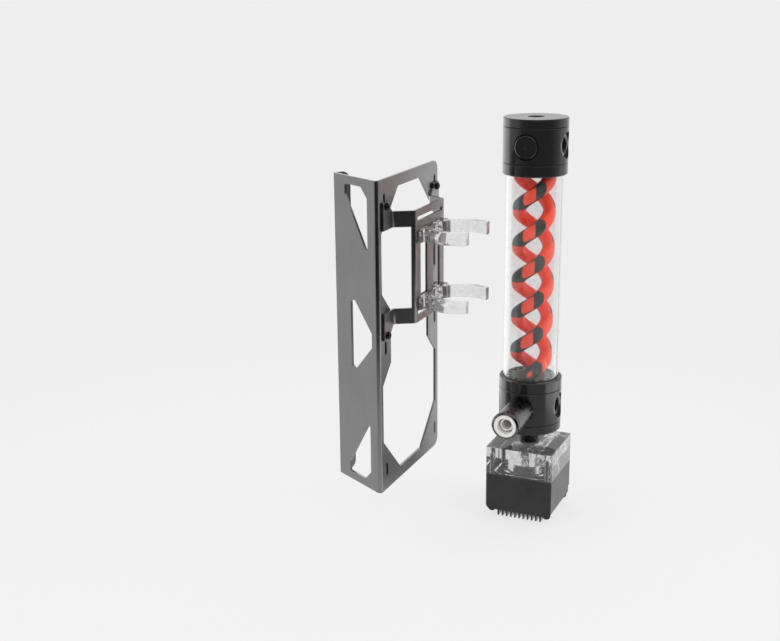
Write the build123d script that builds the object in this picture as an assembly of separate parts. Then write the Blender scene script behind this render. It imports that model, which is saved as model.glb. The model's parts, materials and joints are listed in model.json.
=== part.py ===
from build123d import *
import os
from math import cos, radians, sin

# Water cooling reservoir: a folded fan bracket with a sliding clip carrier, and the
# reservoir column that its two clips hold. Lengths are in millimetres.
# X points out of the fan face, Y runs along the wide flange, away from its bend, and
# Z is up. The origin is the middle of the near pair of lower fan slots.

# Folded bracket, for two stacked fans
sheet = 2.0
bend_radius = 2.5               # outside
corner_radius = 8.0
fan_pitch = 105.0
fan_size = 120.0
bracket_margin = 17.5           # outermost fan slots to the bracket's ends
near_margin = 13.5              # near slots to the bend's outer corner
far_margin = 7.0                # far slots to the free edge
side_width = 61.5
side_angle = 60.0               # between the wide flange and the side flange
lip_width = 16.0
slot_width = 4.5
slot_length = 12.0
cut_radius = 1.5

# Openings of the bracket
opening_near = 7.5              # strips left beside the wide flange's opening
opening_far = 5.0
opening_end = 9.5
opening_taper = 33.5
waist_depth = 16.5
waist_half = 22.0
side_strip = 13.5               # bend to the end cut-outs of the side flange
side_far_strip = 17.0
side_end_strip = 6.8
wedge_length = 50.5             # of an end cut-out
wedge_corner = 8.5
wedge_nose = 2.5
arrow_length = 59.0             # of the middle cut-out
arrow_point = 9.5               # bend to its blunt point
arrow_nose = 12.0
arrow_shoulder = 33.0           # bend to its widest place
arrow_back = 39.0
arrow_corner = 2.0

# Clip carrier, a hat section in the same sheet
carrier_height = 93.0
carrier_width = 61.6
carrier_reach = 15.6            # wide flange to the carrier's front plate
leg_angle = 60.0
leg_height = 13.0
foot_width = 18.3
tab_width = 12.5
tab_end = 3.5                   # carrier screws to the tabs' ends
tab_shoulder = 5.0
carrier_drop = 4.0              # carrier screws below the middle of their slots
window_width = 14.0
window_end = 14.25              # windows to the front plate's ends
window_drop = 2.6               # windows below the middle of the front plate
post_width = 13.0
slit_height = 3.2
slit_length = 53.0
slit_depth = 5.9                # slit to the end of the front plate

# Screws and nuts
screw_thread = 3.5
screw_clearance = 0.3
head_width = 6.4
head_height = 2.2
nut_flats = 6.0
nut_height = 2.4
thread_end = 1.0                # thread that stands out of a nut
clip_screw_thread = 3.0
clip_screw_depth = 4.5
clip_head_width = 5.5
clip_head_height = 1.7
blind_gap = 0.5                 # below a screw's end in a blind hole

# Clips of clear acrylic, and the straps behind them
tube_diameter = 50.0
clip_height = 10.2
clip_wall = 5.5
clip_back = 2.5                 # front plate to the bore
clip_base_width = 57.0
clip_base = 4.0
clip_mouth = 14.4               # bore centre to the tips
clip_inset = 4.4                # clip screws to the windows' ends
clip_tip_radius = 0.8
clip_notch_radius = 3.0
strap_thickness = 2.0
strap_width = 38.0
strap_height = 9.0
fit_gap = 0.1                   # between pieces that are fixed together

# Reservoir column, standing beside the bracket
column_x = 77.0
column_y = 151.9
tube_base = -7.0                # where the tube comes out of the bottom cap
tube_show = 183.5
tube_wall = 3.0
tube_end = 6.0                  # tube inside the cap body
tube_entry = 7.0                # socket for it
cap_wall = 3.2                  # round the tube
cap_body = 31.0
cap_collar = 10.0
cap_end = 7.8
cap_chamfer = 0.6
chamber_step = 6.0              # tube's outside to the chamber's wall
seal_section = 2.0
spigot_depth = 5.0
spigot_wall = 3.0
port_thread = 13.16             # major diameter of a quarter inch pipe thread
port_face = 23.0
port_sink = 2.8                 # depth of the spotface
port_relief = 1.0
port_seal = 0.8                 # squeezed seal under a screwed piece
plug_rim = 1.6
plug_head = 2.0
plug_chamfer = 0.6
plug_dimple = 1.2
thread_stop = 0.5               # a screwed shank's end to the chamber

# Double helix
helix_pitch = 64.5
helix_radius = 18.8
helix_bore = 7.8
helix_sweep = 80.0              # of a strand's flat section about the axis
helix_front = -65.75            # direction in which a strand crosses at helix_cross
helix_cross = 161.7
helix_seat = 0.4                # helix base above the tube's way out of the cap
helix_end = 8.0                 # strands' upper ends above the tube's way into the cap
base_thickness = 6.0
base_gap = 0.3
ring_thickness = 4.0
flow_hole = 4.0
flow_holes = 16
flow_circle = 19.4              # radius of the flow holes' circle

# Compression fitting
fitting_diameter = 24.6
fitting_length = 43.0
fitting_gap = 0.4               # grip ring to the cap
grip_length = 6.0
grip_teeth = 16
grip_flute = 0.9
grip_edge = 0.8                 # flute's end to the grip ring's face
hose_diameter = 14.0
hose_bore = 9.0
barb_length = 30.0
barb_wall = 1.4
collar_bore = 19.4
collar_thread = 8.0
collar_gap = 0.5
collar_chamfer = 0.6
front_step = 5.0
front_chamfer = 1.5
groove_depth = 0.7
groove_width = 0.8
face_bore = 21.0
face_depth = 3.0
face_sink = 0.4
ring_chamfer = 0.5

# Neck between the reservoir and the pump
pump_gap = 14.8                 # bottom cap to the pump's top
neck_diameter = 17.0
neck_recess = 3.0
neck_play = 1.5                 # round the neck in its recess
neck_seal = 1.0
neck_chamfer = 0.5
neck_thread = 12.0
neck_thread_depth = 9.0

# Pump
pump_width = 62.0
pump_edge = 1.2
pump_top_height = 26.0
housing_height = 34.3
housing_wall = 3.0
housing_floor = 4.0
outlet_offset = 13.0            # outlet to the column's axis
outlet_level = 11.0             # outlet above the block's lower face
outlet_depth = 11.0
outlet_face = 20.0
outlet_sink = 1.0
channel_width = 8.0
chamber_bore = 32.0
chamber_height = 8.0
gasket_radius = 19.5
gasket_width = 1.8
gasket_height = 1.4
groove_play = 0.2               # round the gasket in its groove
bolt_inset = 5.0                # pump bolts to the sides
bolt_thread = 4.0
bolt_head = 7.6
bolt_head_height = 2.8
bolt_grip = 20.0
bolt_wall = 4.0
fin_count = 11
fin_height = 7.5
fin_root = 2.4
fin_tip = 1.2
fin_gap = 1.0                   # outermost fins to the bolt heads
fin_end = 5.0                   # fins' ends to the housing's sides
foot_chamfer = 3.0
notch_width = 4.0
notch_height = 9.0
corner_cut = 9.0                # of the housing's hollow and the board, round the bolts

# Motor and impeller
deck_thickness = 3.0
deck_margin = 7.0               # deck's edge to the housing's side
deck_cut = 6.0
well_depth = 20.0
well_gap = 0.7
well_wall = 1.2
shaft_diameter = 4.0
shaft_gap = 0.05
shaft_seat = 2.5
shaft_wall = 2.0
shaft_chamfer = 0.3
shaft_rise = 4.5                # shaft's end above the impeller's seat
magnet_diameter = 17.0
magnet_length = 16.5
impeller_diameter = 26.0
impeller_gap = 0.5              # impeller above the deck
impeller_disc = 1.4
hub_wall = 2.1
hub_rise = 2.0
blade_count = 6
blade_height = 4.0
blade_half = 0.9
blade_edge = 0.6
stator_diameter = 46.0
stator_height = 12.0
stator_drop = 2.0
stator_ring = 3.5
stator_play = 0.3
stator_poles = 6
pole_width = 4.0
pole_gap = 1.0
coil_width = 7.0
coil_rise = 1.2
board_thickness = 1.6
board_play = 1.0

# Places that follow from the sizes
tube_radius = tube_diameter / 2
cap_radius = tube_radius + cap_wall
chamber_radius = tube_radius - chamber_step
port_flat = cap_radius - port_sink
port_radius = port_thread / 2
neck_radius = neck_diameter / 2
bracket_bottom = -fan_pitch / 2 - bracket_margin
bracket_height = fan_pitch + fan_size + 2 * bracket_margin
bracket_middle = bracket_bottom + bracket_height / 2
upper_fan = fan_size
slot_levels = [-fan_pitch / 2, fan_pitch / 2, upper_fan - fan_pitch / 2, upper_fan + fan_pitch / 2]
carrier_y = fan_pitch / 2
carrier_z = upper_fan - carrier_drop
tab_rise = fan_pitch / 2 + tab_end - carrier_height / 2
window_height = carrier_height - 2 * window_end
front_inner = sheet + carrier_reach
front_outer = front_inner + sheet
clip_x = front_outer + clip_back + tube_radius
clip_middle = carrier_z - window_drop
clip_spacing = window_height - 2 * clip_inset
tube_top = tube_base + tube_show
bottom_cap_end = tube_base - cap_collar - cap_body - cap_end
bottom_port = tube_base - cap_collar - cap_body / 2
top_port = tube_top + cap_collar + cap_body / 2
helix_bottom = tube_base + helix_seat
helix_top = tube_top + helix_end
fitting_foot = cap_radius + fitting_gap
pump_half = pump_width / 2
pump_top_level = bottom_cap_end - pump_gap
pump_split = pump_top_level - pump_top_height
pump_floor = pump_split - housing_height
hollow_width = pump_width - 2 * housing_wall - bolt_wall
deck_width = pump_width - 2 * deck_margin
fin_side = bolt_inset + bolt_head / 2 + fin_gap + fin_root / 2
fin_pitch = (pump_width - 2 * fin_side) / (fin_count - 1)
board_level = pump_floor + housing_floor
stator_level = pump_split - deck_thickness - stator_drop - stator_height
stator_bore = magnet_diameter / 2 + well_gap + well_wall + stator_play
rotor_level = pump_split + impeller_gap
column = Pos(column_x, column_y, 0)


def disc(radius, low, high):
    """A round solid on the Z axis between two levels."""
    return Pos(0, 0, low) * Cylinder(radius, high - low, align=(Align.CENTER, Align.CENTER, Align.MIN))


def ring(outer, inner, low, high):
    """A round tube on the Z axis between two levels."""
    return disc(outer, low, high) - disc(inner, low, high)


def copies(places, shape):
    """A group of separate solids, one at each place."""
    return Compound([place * shape for place in places])


def save(name, shape):
    """Write one named piece, as one solid or as a group of separate solids."""
    solids = shape.solids()
    piece = solids[0] if len(solids) == 1 else Compound(children=list(solids))
    piece.label = name
    export_step(piece, os.path.join("parts", name + ".step"))


# Bracket
def side_frame():
    """The side flange's outer face, with X away from the bend, Y up and Z inwards."""
    turn = radians(side_angle)
    return Plane(
        origin=(sheet, -near_margin, bracket_middle),
        x_dir=(-sin(turn), cos(turn), 0),
        z_dir=(cos(turn), sin(turn), 0),
    )


def folded_sheet(points, low, height, side):
    """Sheet bent along a plan line through the points, and drawn up from a level."""
    line = FilletPolyline(*points, radius=bend_radius)
    section = make_face(offset(line, amount=sheet, side=side))
    return Pos(0, 0, low) * extrude(section, amount=height)


def hourglass_opening():
    """The wide flange's opening: a tall octagon with a waist, on 45 degree lines."""
    half_width = (near_margin + fan_pitch + far_margin - opening_near - opening_far) / 2
    half_height = bracket_height / 2 - opening_end
    corner = [
        (half_width - opening_taper, half_height),
        (half_width, half_height - opening_taper),
        (half_width, waist_half + waist_depth),
        (half_width - waist_depth, waist_half),
    ]
    lower = [(y, -z) for y, z in reversed(corner)]
    right = corner + lower
    left = [(-y, z) for y, z in reversed(right)]
    outline = make_face(Polyline(*right, *left, close=True))
    outline = fillet(outline.vertices(), cut_radius)
    middle = opening_near - near_margin + half_width
    return Pos(0, middle, bracket_middle) * extrude(Plane.YZ * outline, amount=sheet * 3, both=True)


def side_cutouts():
    """Two end cut-outs and a middle one, which leave two slanting struts."""
    half = bracket_height / 2 - side_end_strip
    far = side_width - side_far_strip
    wedge = [
        (side_strip, wedge_corner - half),
        (side_strip + wedge_corner, -half),
        (far, -half),
        (far, wedge_corner - half),
        (side_strip + wedge_nose, wedge_length - half),
        (side_strip, wedge_length - wedge_nose - half),
    ]
    arrow_half = arrow_length / 2
    arrow = [
        (arrow_point, -arrow_nose / 2),
        (arrow_shoulder, -arrow_half),
        (arrow_back, arrow_corner - arrow_half),
        (arrow_back, arrow_half - arrow_corner),
        (arrow_shoulder, arrow_half),
        (arrow_point, arrow_nose / 2),
    ]
    shapes = [wedge, [(x, -y) for x, y in reversed(wedge)], arrow]
    cuts = []
    for points in shapes:
        outline = make_face(Polyline(*points, close=True))
        outline = fillet(outline.vertices(), cut_radius)
        cuts.append(extrude(side_frame() * outline, amount=sheet * 3, both=True))
    return cuts


def make_bracket():
    frame = side_frame()
    along = frame.x_dir
    inward = frame.z_dir
    bend = Vector(sheet, -near_margin, 0)
    corner = bend + along * side_width
    lip_end = corner + inward * lip_width
    points = [(sheet, fan_pitch + far_margin), (bend.X, bend.Y), (corner.X, corner.Y), (lip_end.X, lip_end.Y)]
    body = folded_sheet(points, bracket_bottom, bracket_height, Side.RIGHT)
    free_edges = body.edges().filter_by(Axis.X).group_by(Axis.Y)[-1]
    lip_edges = body.edges().filter_by(Axis(corner, along)).group_by(Axis(corner, inward))[-1]
    body = fillet(free_edges + lip_edges, corner_radius)
    body -= hourglass_opening()
    body -= side_cutouts()
    slot = extrude(Plane.YZ * SlotOverall(slot_length, slot_width, rotation=90), amount=sheet * 3, both=True)
    body -= [Pos(0, y, z) * slot for y in (0, fan_pitch) for z in slot_levels]
    return body


# Clip carrier
def carrier_points():
    """Plan line of the hat section's outer face, from the near foot to the far one."""
    run = carrier_reach / sin(radians(leg_angle)) * cos(radians(leg_angle))
    half = carrier_width / 2
    near = [
        (2 * sheet, carrier_y - half - run - foot_width),
        (2 * sheet, carrier_y - half - run),
        (front_outer, carrier_y - half),
    ]
    far = [(x, 2 * carrier_y - y) for x, y in reversed(near)]
    return near + far


def make_carrier():
    points = carrier_points()
    foot_edge = points[0][1]
    tab_edge = foot_edge + tab_width
    half = carrier_height / 2
    body = folded_sheet(points, carrier_z - half - tab_rise, carrier_height + 2 * tab_rise, Side.LEFT)
    # above and below the hat only the four screw tabs are left, with sloping shoulders
    span = carrier_y - tab_edge
    for end in (1, -1):
        rim = carrier_z + end * half
        outline = Polyline(
            (-span, end * tab_rise * 2),
            (-span, end * tab_shoulder),
            (tab_shoulder - span, 0),
            (span - tab_shoulder, 0),
            (span, end * tab_shoulder),
            (span, end * tab_rise * 2),
            close=True,
        )
        cut = extrude(Plane.YZ * make_face(outline), amount=front_outer * 2, both=True)
        body -= Pos(0, carrier_y, rim) * cut
    # the sides stay open between the upper and lower legs
    side_gap = carrier_height - 2 * leg_height
    depth = front_inner - bend_radius / 2
    body -= Pos(0, carrier_y, carrier_z) * Box(2 * depth, 2 * carrier_width + 4 * foot_width, side_gap)
    offset_y = (post_width + window_width) / 2
    window = Box(4 * sheet, window_width, window_height)
    window = fillet(window.edges().filter_by(Axis.X), cut_radius)
    for y in (-offset_y, offset_y):
        body -= Pos(front_inner, carrier_y + y, clip_middle) * window
    slit = Box(4 * sheet, slit_length, slit_height)
    for end in (1, -1):
        body -= Pos(front_inner, carrier_y, carrier_z + end * (half - slit_depth - slit_height / 2)) * slit
    hole = Rot(0, 90, 0) * Cylinder(screw_thread / 2 + screw_clearance / 2, 6 * sheet)
    return body - [Pos(sheet, y, z) * hole for y, z in carrier_screw_places()]


def carrier_screw_places():
    levels = [carrier_z - fan_pitch / 2, carrier_z + fan_pitch / 2]
    return [(y, z) for y in (0, fan_pitch) for z in levels]


def button_screw(thread, length, head, height):
    """A domed socket screw, its head standing on the origin and its thread below."""
    crown = head * 0.7
    outline = make_face(
        Polyline((0, height), (crown / 2, height)).edges()
        + [ThreePointArc((crown / 2, height), (head * 0.46, height * 0.55), (head / 2, 0))]
        + Polyline((head / 2, 0), (thread / 2, 0), (thread / 2, -length), (0, -length), (0, height)).edges()
    )
    body = revolve(Plane.XZ * outline, Axis.Z)
    socket = extrude(RegularPolygon(thread * 0.36, 6), amount=height * 0.6)
    return body - Pos(0, 0, height * 0.4) * socket


def make_carrier_screws():
    length = 2 * sheet + nut_height + thread_end
    screw = Rot(0, 90, 0) * button_screw(screw_thread, length, head_width, head_height)
    return [Pos(2 * sheet, y, z) * screw for y, z in carrier_screw_places()]


def make_carrier_nuts():
    nut = extrude(RegularPolygon(nut_flats / 2, 6, major_radius=False), amount=nut_height)
    nut = nut - Cylinder(screw_thread / 2 + fit_gap / 2, 4 * nut_height)
    return [Pos(-nut_height, y, z) * Rot(0, 90, 0) * nut for y, z in carrier_screw_places()]


# Clips
def clip_screw_lines():
    offset = (post_width + window_width) / 2
    return [carrier_y - offset, carrier_y + offset]


def make_clip(level):
    outer = tube_radius + clip_wall
    ring_part = Circle(outer) - Pos(clip_mouth + outer, 0) * Rectangle(2 * outer, 4 * outer)
    back = front_outer - clip_x
    base = Pos(back + clip_base / 2, 0) * Rectangle(clip_base, clip_base_width)
    behind = Pos(back - outer, 0) * Rectangle(2 * outer, 4 * outer)
    outline = ring_part + base - behind - Circle(tube_radius + fit_gap)
    tips = outline.vertices().group_by(Axis.X)[-1]
    outline = fillet(tips, clip_tip_radius)
    on_base = outline.vertices().filter_by(lambda corner: abs(corner.X - back - clip_base) < 0.01)
    notches = on_base.filter_by(lambda corner: abs(corner.Y) < clip_base_width / 2 - 1)
    outline = fillet(notches, clip_notch_radius)
    body = Pos(clip_x, carrier_y, level - clip_height / 2) * extrude(outline, amount=clip_height)
    hole = Rot(0, 90, 0) * Cylinder(clip_screw_thread / 2 + fit_gap / 2, 2 * clip_screw_depth)
    return body - [Pos(front_outer, y, level) * hole for y in clip_screw_lines()]


def make_strap(level):
    bar = Box(strap_thickness, strap_width, strap_height)
    bar = fillet(bar.edges().filter_by(Axis.X), strap_height / 2 - 0.1)
    bar = Pos(front_inner - strap_thickness / 2, carrier_y, level) * bar
    hole = Rot(0, 90, 0) * Cylinder(clip_screw_thread / 2 + fit_gap / 2, 4 * strap_thickness)
    return bar - [Pos(front_inner, y, level) * hole for y in clip_screw_lines()]


def make_clip_screws(level):
    length = strap_thickness + sheet + clip_screw_depth - blind_gap
    screw = Rot(0, -90, 0) * button_screw(clip_screw_thread, length, clip_head_width, clip_head_height)
    x = front_inner - strap_thickness
    return [Pos(x, y, level) * screw for y in clip_screw_lines()]


# Caps, built with the tube coming in from above and turned over for the top one
def countersink(radius, level):
    """Cone that relieves the mouth of a threaded hole, wide at a level and narrow below it."""
    low = level - port_relief
    cone = Cone(radius, radius + port_relief, port_relief, align=(Align.CENTER, Align.CENTER, Align.MIN))
    return Pos(0, 0, low) * cone


def cap_port_tool():
    """Spotface and threaded hole of a side port, looking along +X from the axis."""
    bore = disc(port_radius, 0, cap_radius)
    face = disc(port_face / 2, port_flat, cap_radius)
    return Rot(0, 90, 0) * (bore + face + countersink(port_radius, port_flat))


def make_cap_body():
    """Cap body about the origin: the tube's socket above, the end plate's seat below."""
    half = cap_body / 2
    body = disc(cap_radius, -half, half)
    body = chamfer(body.edges(), cap_chamfer)
    body -= disc(chamber_radius, -half, half)
    body -= disc(tube_radius + fit_gap, half - tube_entry, half)
    body -= disc(tube_radius + seal_section, half - seal_section, half)
    body -= disc(chamber_radius + spigot_wall, -half, spigot_depth - half)
    return body - [Rot(0, 0, turn) * cap_port_tool() for turn in (0, -90)]


def make_collar():
    body = disc(cap_radius, 0, cap_collar)
    body = chamfer(body.edges(), cap_chamfer)
    return body - disc(tube_radius + fit_gap, 0, cap_collar)


def make_end_plate(radius):
    """End plate below its seat at the origin, with a central threaded port."""
    body = disc(cap_radius, -cap_end, 0)
    body = chamfer(body.edges(), cap_chamfer)
    body += ring(chamber_radius + spigot_wall - fit_gap, chamber_radius, 0, spigot_depth - fit_gap)
    return body - disc(radius, -cap_end, 0) - Rot(180, 0, 0) * countersink(radius, cap_end)


def place_bottom(shape, level):
    return column * Pos(0, 0, level) * shape


def place_top(shape, level):
    """Turned over, with the side ports still facing the same ways."""
    return column * Pos(0, 0, level) * Rot(180, 0, 0) * Rot(0, 0, 90) * shape


# Helix
def ring_sector(inner, outer, start, end):
    """Flat sector of a ring between two directions, in degrees."""
    outside = CenterArc((0, 0), outer, start, end - start)
    inside = CenterArc((0, 0), inner, start, end - start)
    sides = [Line(outside @ 0, inside @ 0), Line(outside @ 1, inside @ 1)]
    return make_face([outside, inside] + sides)


def twisted(section, turn, low, high):
    """Draw a flat section up the axis while it turns with the helix."""
    start = turn + helix_front + 360 * (low - helix_cross) / helix_pitch
    flat = Pos(0, 0, low) * Rot(0, 0, start) * section
    rise = (0, 0, high - low)
    sweep = 360 * (high - low) / helix_pitch
    return Solid.extrude_linear_with_rotation(flat.face(), center=(0, 0, low), normal=rise, angle=sweep)


def make_strand(turn):
    """One strand: a flat ring sector drawn up the axis while it turns."""
    section = ring_sector(helix_bore, helix_radius, -helix_sweep / 2, helix_sweep / 2)
    return column * twisted(section, turn, helix_bottom, helix_top)


def make_helix_base():
    """Disc that carries both strands, with flow holes round its rim."""
    radius = tube_radius - tube_wall - base_gap
    body = disc(radius, helix_bottom - base_thickness, helix_bottom)
    hole = Cylinder(flow_hole / 2, 4 * base_thickness)
    return column * (body - PolarLocations(flow_circle, flow_holes) * hole)


def make_helix_ring():
    """Ring that ties the strands' upper ends, hidden in the top cap."""
    return column * ring(helix_radius, helix_bore, helix_top, helix_top + ring_thickness)


# Port pieces, modelled up from the column's axis and laid along their port
def at_port(shape, level, turn):
    return column * Pos(0, 0, level) * Rot(0, 0, turn) * Rot(0, 90, 0) * shape


def make_plug():
    """Flush plug: a round head in the spotface, and its threaded shank."""
    seat = port_flat + port_seal
    body = disc(port_face / 2 - plug_rim, seat, seat + plug_head)
    body = chamfer(body.edges().group_by(Axis.Z)[-1], plug_chamfer)
    body += disc(port_radius - fit_gap, chamber_radius + thread_stop, seat)
    dimple = Cone(0, plug_dimple, plug_dimple, align=(Align.CENTER, Align.CENTER, Align.MAX))
    return body - Pos(0, 0, seat + plug_head) * dimple


def make_port_seal():
    inner = port_radius + port_relief / 2
    return ring(inner + 1.5 * port_relief + seal_section / 2, inner, port_flat, port_flat + port_seal)


def make_fitting_body():
    """Threaded stub, knurled grip ring and the barb that the hose goes over."""
    seat = port_flat + port_seal
    grip_top = fitting_foot + grip_length
    body = disc(port_radius - fit_gap, chamber_radius + thread_stop, seat)
    body += disc(port_face / 2 - plug_rim, seat, fitting_foot)
    body += disc(fitting_diameter / 2, fitting_foot, grip_top)
    flute = Pos(0, 0, fitting_foot + grip_length / 2) * Cylinder(grip_flute, grip_length - 2 * grip_edge)
    body -= PolarLocations(fitting_diameter / 2 + grip_flute / 3, grip_teeth) * flute
    body += disc(hose_bore / 2 + barb_wall, grip_top, grip_top + barb_length)
    body += disc(collar_bore / 2 - fit_gap, grip_top, grip_top + collar_thread)
    return body - disc(hose_bore / 2, 0, fitting_foot + fitting_length)


def make_fitting_collar():
    """Turning collar: a smooth barrel with a stepped front and a grooved edge."""
    low = fitting_foot + grip_length + collar_gap
    high = fitting_foot + fitting_length
    outer = fitting_diameter / 2
    section = Polyline(
        (collar_bore / 2, low),
        (outer - collar_chamfer, low),
        (outer, low + collar_chamfer),
        (outer, high - front_step),
        (outer - groove_depth, high - front_step),
        (outer - groove_depth, high - front_step + groove_width),
        (outer, high - front_step + groove_width),
        (outer, high - front_chamfer),
        (outer - front_chamfer, high),
        (face_bore / 2, high),
        (face_bore / 2, high - face_depth),
        (collar_bore / 2, high - face_depth - (face_bore - collar_bore) / 2),
        close=True,
    )
    return revolve(Plane.XZ * make_face(section), Axis.Z)


def make_fitting_ring():
    """Bright ring in the collar's mouth, round the hose's way in."""
    high = fitting_foot + fitting_length
    body = ring(face_bore / 2 - fit_gap, hose_diameter / 2, high - face_depth, high - face_sink)
    return chamfer(body.edges().group_by(Axis.Z)[-1], ring_chamfer)


# Neck between the reservoir and the pump
def make_coupler():
    """Threaded nipple with a plain neck, open down its middle."""
    neck_low = pump_top_level - neck_recess + neck_seal
    body = disc(neck_radius, neck_low, bottom_cap_end - neck_seal)
    body = chamfer(body.edges(), neck_chamfer)
    thread_low = neck_low - neck_thread_depth + neck_seal
    body += disc(neck_thread / 2 - fit_gap, thread_low, bottom_cap_end + cap_end)
    return column * (body - disc(hose_bore / 2, pump_split, tube_base))


def make_neck_seal(level):
    return column * ring(neck_radius - neck_chamfer, neck_thread / 2 + fit_gap, level, level + neck_seal)


# Pump
def square_block(low, high, width=pump_width, edge=pump_edge):
    block = Pos(0, 0, low) * Box(width, width, high - low, align=(Align.CENTER, Align.CENTER, Align.MIN))
    return chamfer(block.edges().filter_by(Axis.Z), edge)


def bolt_places():
    return GridLocations(pump_width - 2 * bolt_inset, pump_width - 2 * bolt_inset, 2, 2)


def make_pump_top():
    """Clear block: inlet port, impeller chamber, and the outlet port with its channel."""
    body = square_block(pump_split, pump_top_level)
    chamber_top = pump_split + chamber_height
    recess = pump_top_level - neck_recess
    body -= disc(neck_radius + neck_play, recess, pump_top_level)
    body -= disc(neck_thread / 2, recess - neck_thread_depth, recess)
    body -= disc(hose_bore / 2, chamber_top, recess)
    body -= disc(chamber_bore / 2, pump_split, chamber_top)
    outlet = disc(port_radius, pump_half - outlet_depth, pump_half)
    outlet += disc(outlet_face / 2, pump_half - outlet_sink, pump_half)
    outlet += disc(channel_width / 2, 0, pump_half)
    body -= Pos(outlet_offset, 0, pump_split + outlet_level) * Rot(-90, 0, 0) * outlet
    half = gasket_width / 2 + groove_play
    groove = ring(gasket_radius + half, gasket_radius - half, pump_split, pump_split + gasket_height)
    thread_hole = disc(bolt_thread / 2 + fit_gap / 2, pump_split, pump_split + bolt_grip)
    return column * (body - groove - bolt_places() * thread_hole)


def make_gasket():
    half = gasket_width / 2
    return column * ring(gasket_radius + half, gasket_radius - half, pump_split, pump_split + gasket_height)


def make_motor_well():
    """Deck under the impeller, with the closed well that the magnet turns in."""
    floor = pump_split - well_depth
    inner = magnet_diameter / 2 + well_gap
    deck_low = pump_split - deck_thickness
    body = square_block(deck_low, pump_split, deck_width, deck_cut)
    body += disc(inner + well_wall, floor - well_wall, deck_low)
    body -= disc(inner, floor, pump_split)
    body += disc(shaft_diameter / 2 + shaft_wall, floor, floor + shaft_seat)
    return column * (body - disc(shaft_diameter / 2 + fit_gap / 4, floor, floor + shaft_seat))


def make_shaft():
    floor = pump_split - well_depth
    body = disc(shaft_diameter / 2, floor, rotor_level + shaft_rise)
    return column * chamfer(body.edges(), shaft_chamfer)


def make_rotor_magnet():
    inner = shaft_diameter / 2 + hub_wall + fit_gap
    return column * ring(magnet_diameter / 2, inner, rotor_level - magnet_length, rotor_level)


def make_impeller():
    """Hub and disc with curved blades, and the sleeve that runs on the shaft."""
    deck = rotor_level + impeller_disc
    hub = shaft_diameter / 2 + hub_wall
    body = disc(impeller_diameter / 2, rotor_level, deck)
    body += disc(hub, rotor_level - magnet_length, deck + hub_rise)
    reach = impeller_diameter / 2 - blade_edge
    arc = ThreePointArc((hub - blade_edge, 0), (reach * 0.6, reach * 0.28), (reach * 0.86, reach * 0.5))
    blade = make_face(offset(arc, amount=blade_half, side=Side.BOTH))
    body += PolarLocations(0, blade_count) * (Pos(0, 0, deck) * extrude(blade, amount=blade_height))
    return column * (body - disc(shaft_diameter / 2 + shaft_gap, pump_floor, pump_top_level))


def make_stator():
    """Ring with inward poles round the well."""
    outer = stator_diameter / 2
    body = ring(outer, outer - stator_ring, stator_level, stator_level + stator_height)
    reach = outer - stator_ring / 2 - stator_bore
    pole = Box(reach, pole_width, stator_height, align=(Align.MIN, Align.CENTER, Align.MIN))
    body += PolarLocations(0, stator_poles) * (Pos(stator_bore, 0, stator_level) * pole)
    return column * (body - disc(stator_bore, stator_level, stator_level + stator_height))


def make_coils():
    """One wound coil on each pole."""
    inner = stator_bore + pole_gap
    length = stator_diameter / 2 - stator_ring - pole_gap - inner
    coil = Box(length, coil_width, stator_height + 2 * coil_rise)
    coil -= Box(2 * length, pole_width + fit_gap, stator_height + fit_gap)
    place = Pos(inner + length / 2, 0, stator_level + stator_height / 2)
    return column * copies(PolarLocations(0, stator_poles), place * coil)


def make_board():
    width = hollow_width - 2 * board_play
    return column * square_block(board_level, board_level + board_thickness, width, corner_cut)


def fin_section():
    """Upright taper of one cooling fin, hanging from the origin."""
    root = fin_root / 2
    tip = fin_tip / 2
    return make_face(Polyline((-root, 0), (-tip, -fin_height), (tip, -fin_height), (root, 0), close=True))


def make_housing():
    """Machined aluminium cup with cooling fins under its floor."""
    body = square_block(pump_floor, pump_split)
    sloped = Box(pump_width, pump_width, 2 * housing_height)
    sloped = chamfer(sloped.edges().filter_by(Axis.Y), foot_chamfer)
    body &= Pos(0, 0, pump_floor + housing_height) * sloped
    body -= square_block(pump_floor + housing_floor, pump_split, hollow_width, corner_cut)
    body -= square_block(pump_split - deck_thickness, pump_split, deck_width + 2 * fit_gap, deck_cut)
    fin = extrude(Plane.XZ * fin_section(), amount=pump_half - fin_end, both=True)
    first = -(fin_count - 1) * fin_pitch / 2
    body += [Pos(first + fin_pitch * step, 0, pump_floor) * fin for step in range(fin_count)]
    notch = Box(notch_width, notch_width, notch_height, align=(Align.MAX, Align.MAX, Align.MIN))
    body -= Pos(pump_half, pump_half, pump_floor) * notch
    hole = disc(bolt_thread / 2 + fit_gap, pump_floor, pump_split)
    return column * (body - bolt_places() * hole)


def make_pump_bolts():
    length = housing_height + bolt_grip - blind_gap
    bolt = Rot(180, 0, 0) * button_screw(bolt_thread, length, bolt_head, bolt_head_height)
    return column * copies(bolt_places(), Pos(0, 0, pump_floor) * bolt)


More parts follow.
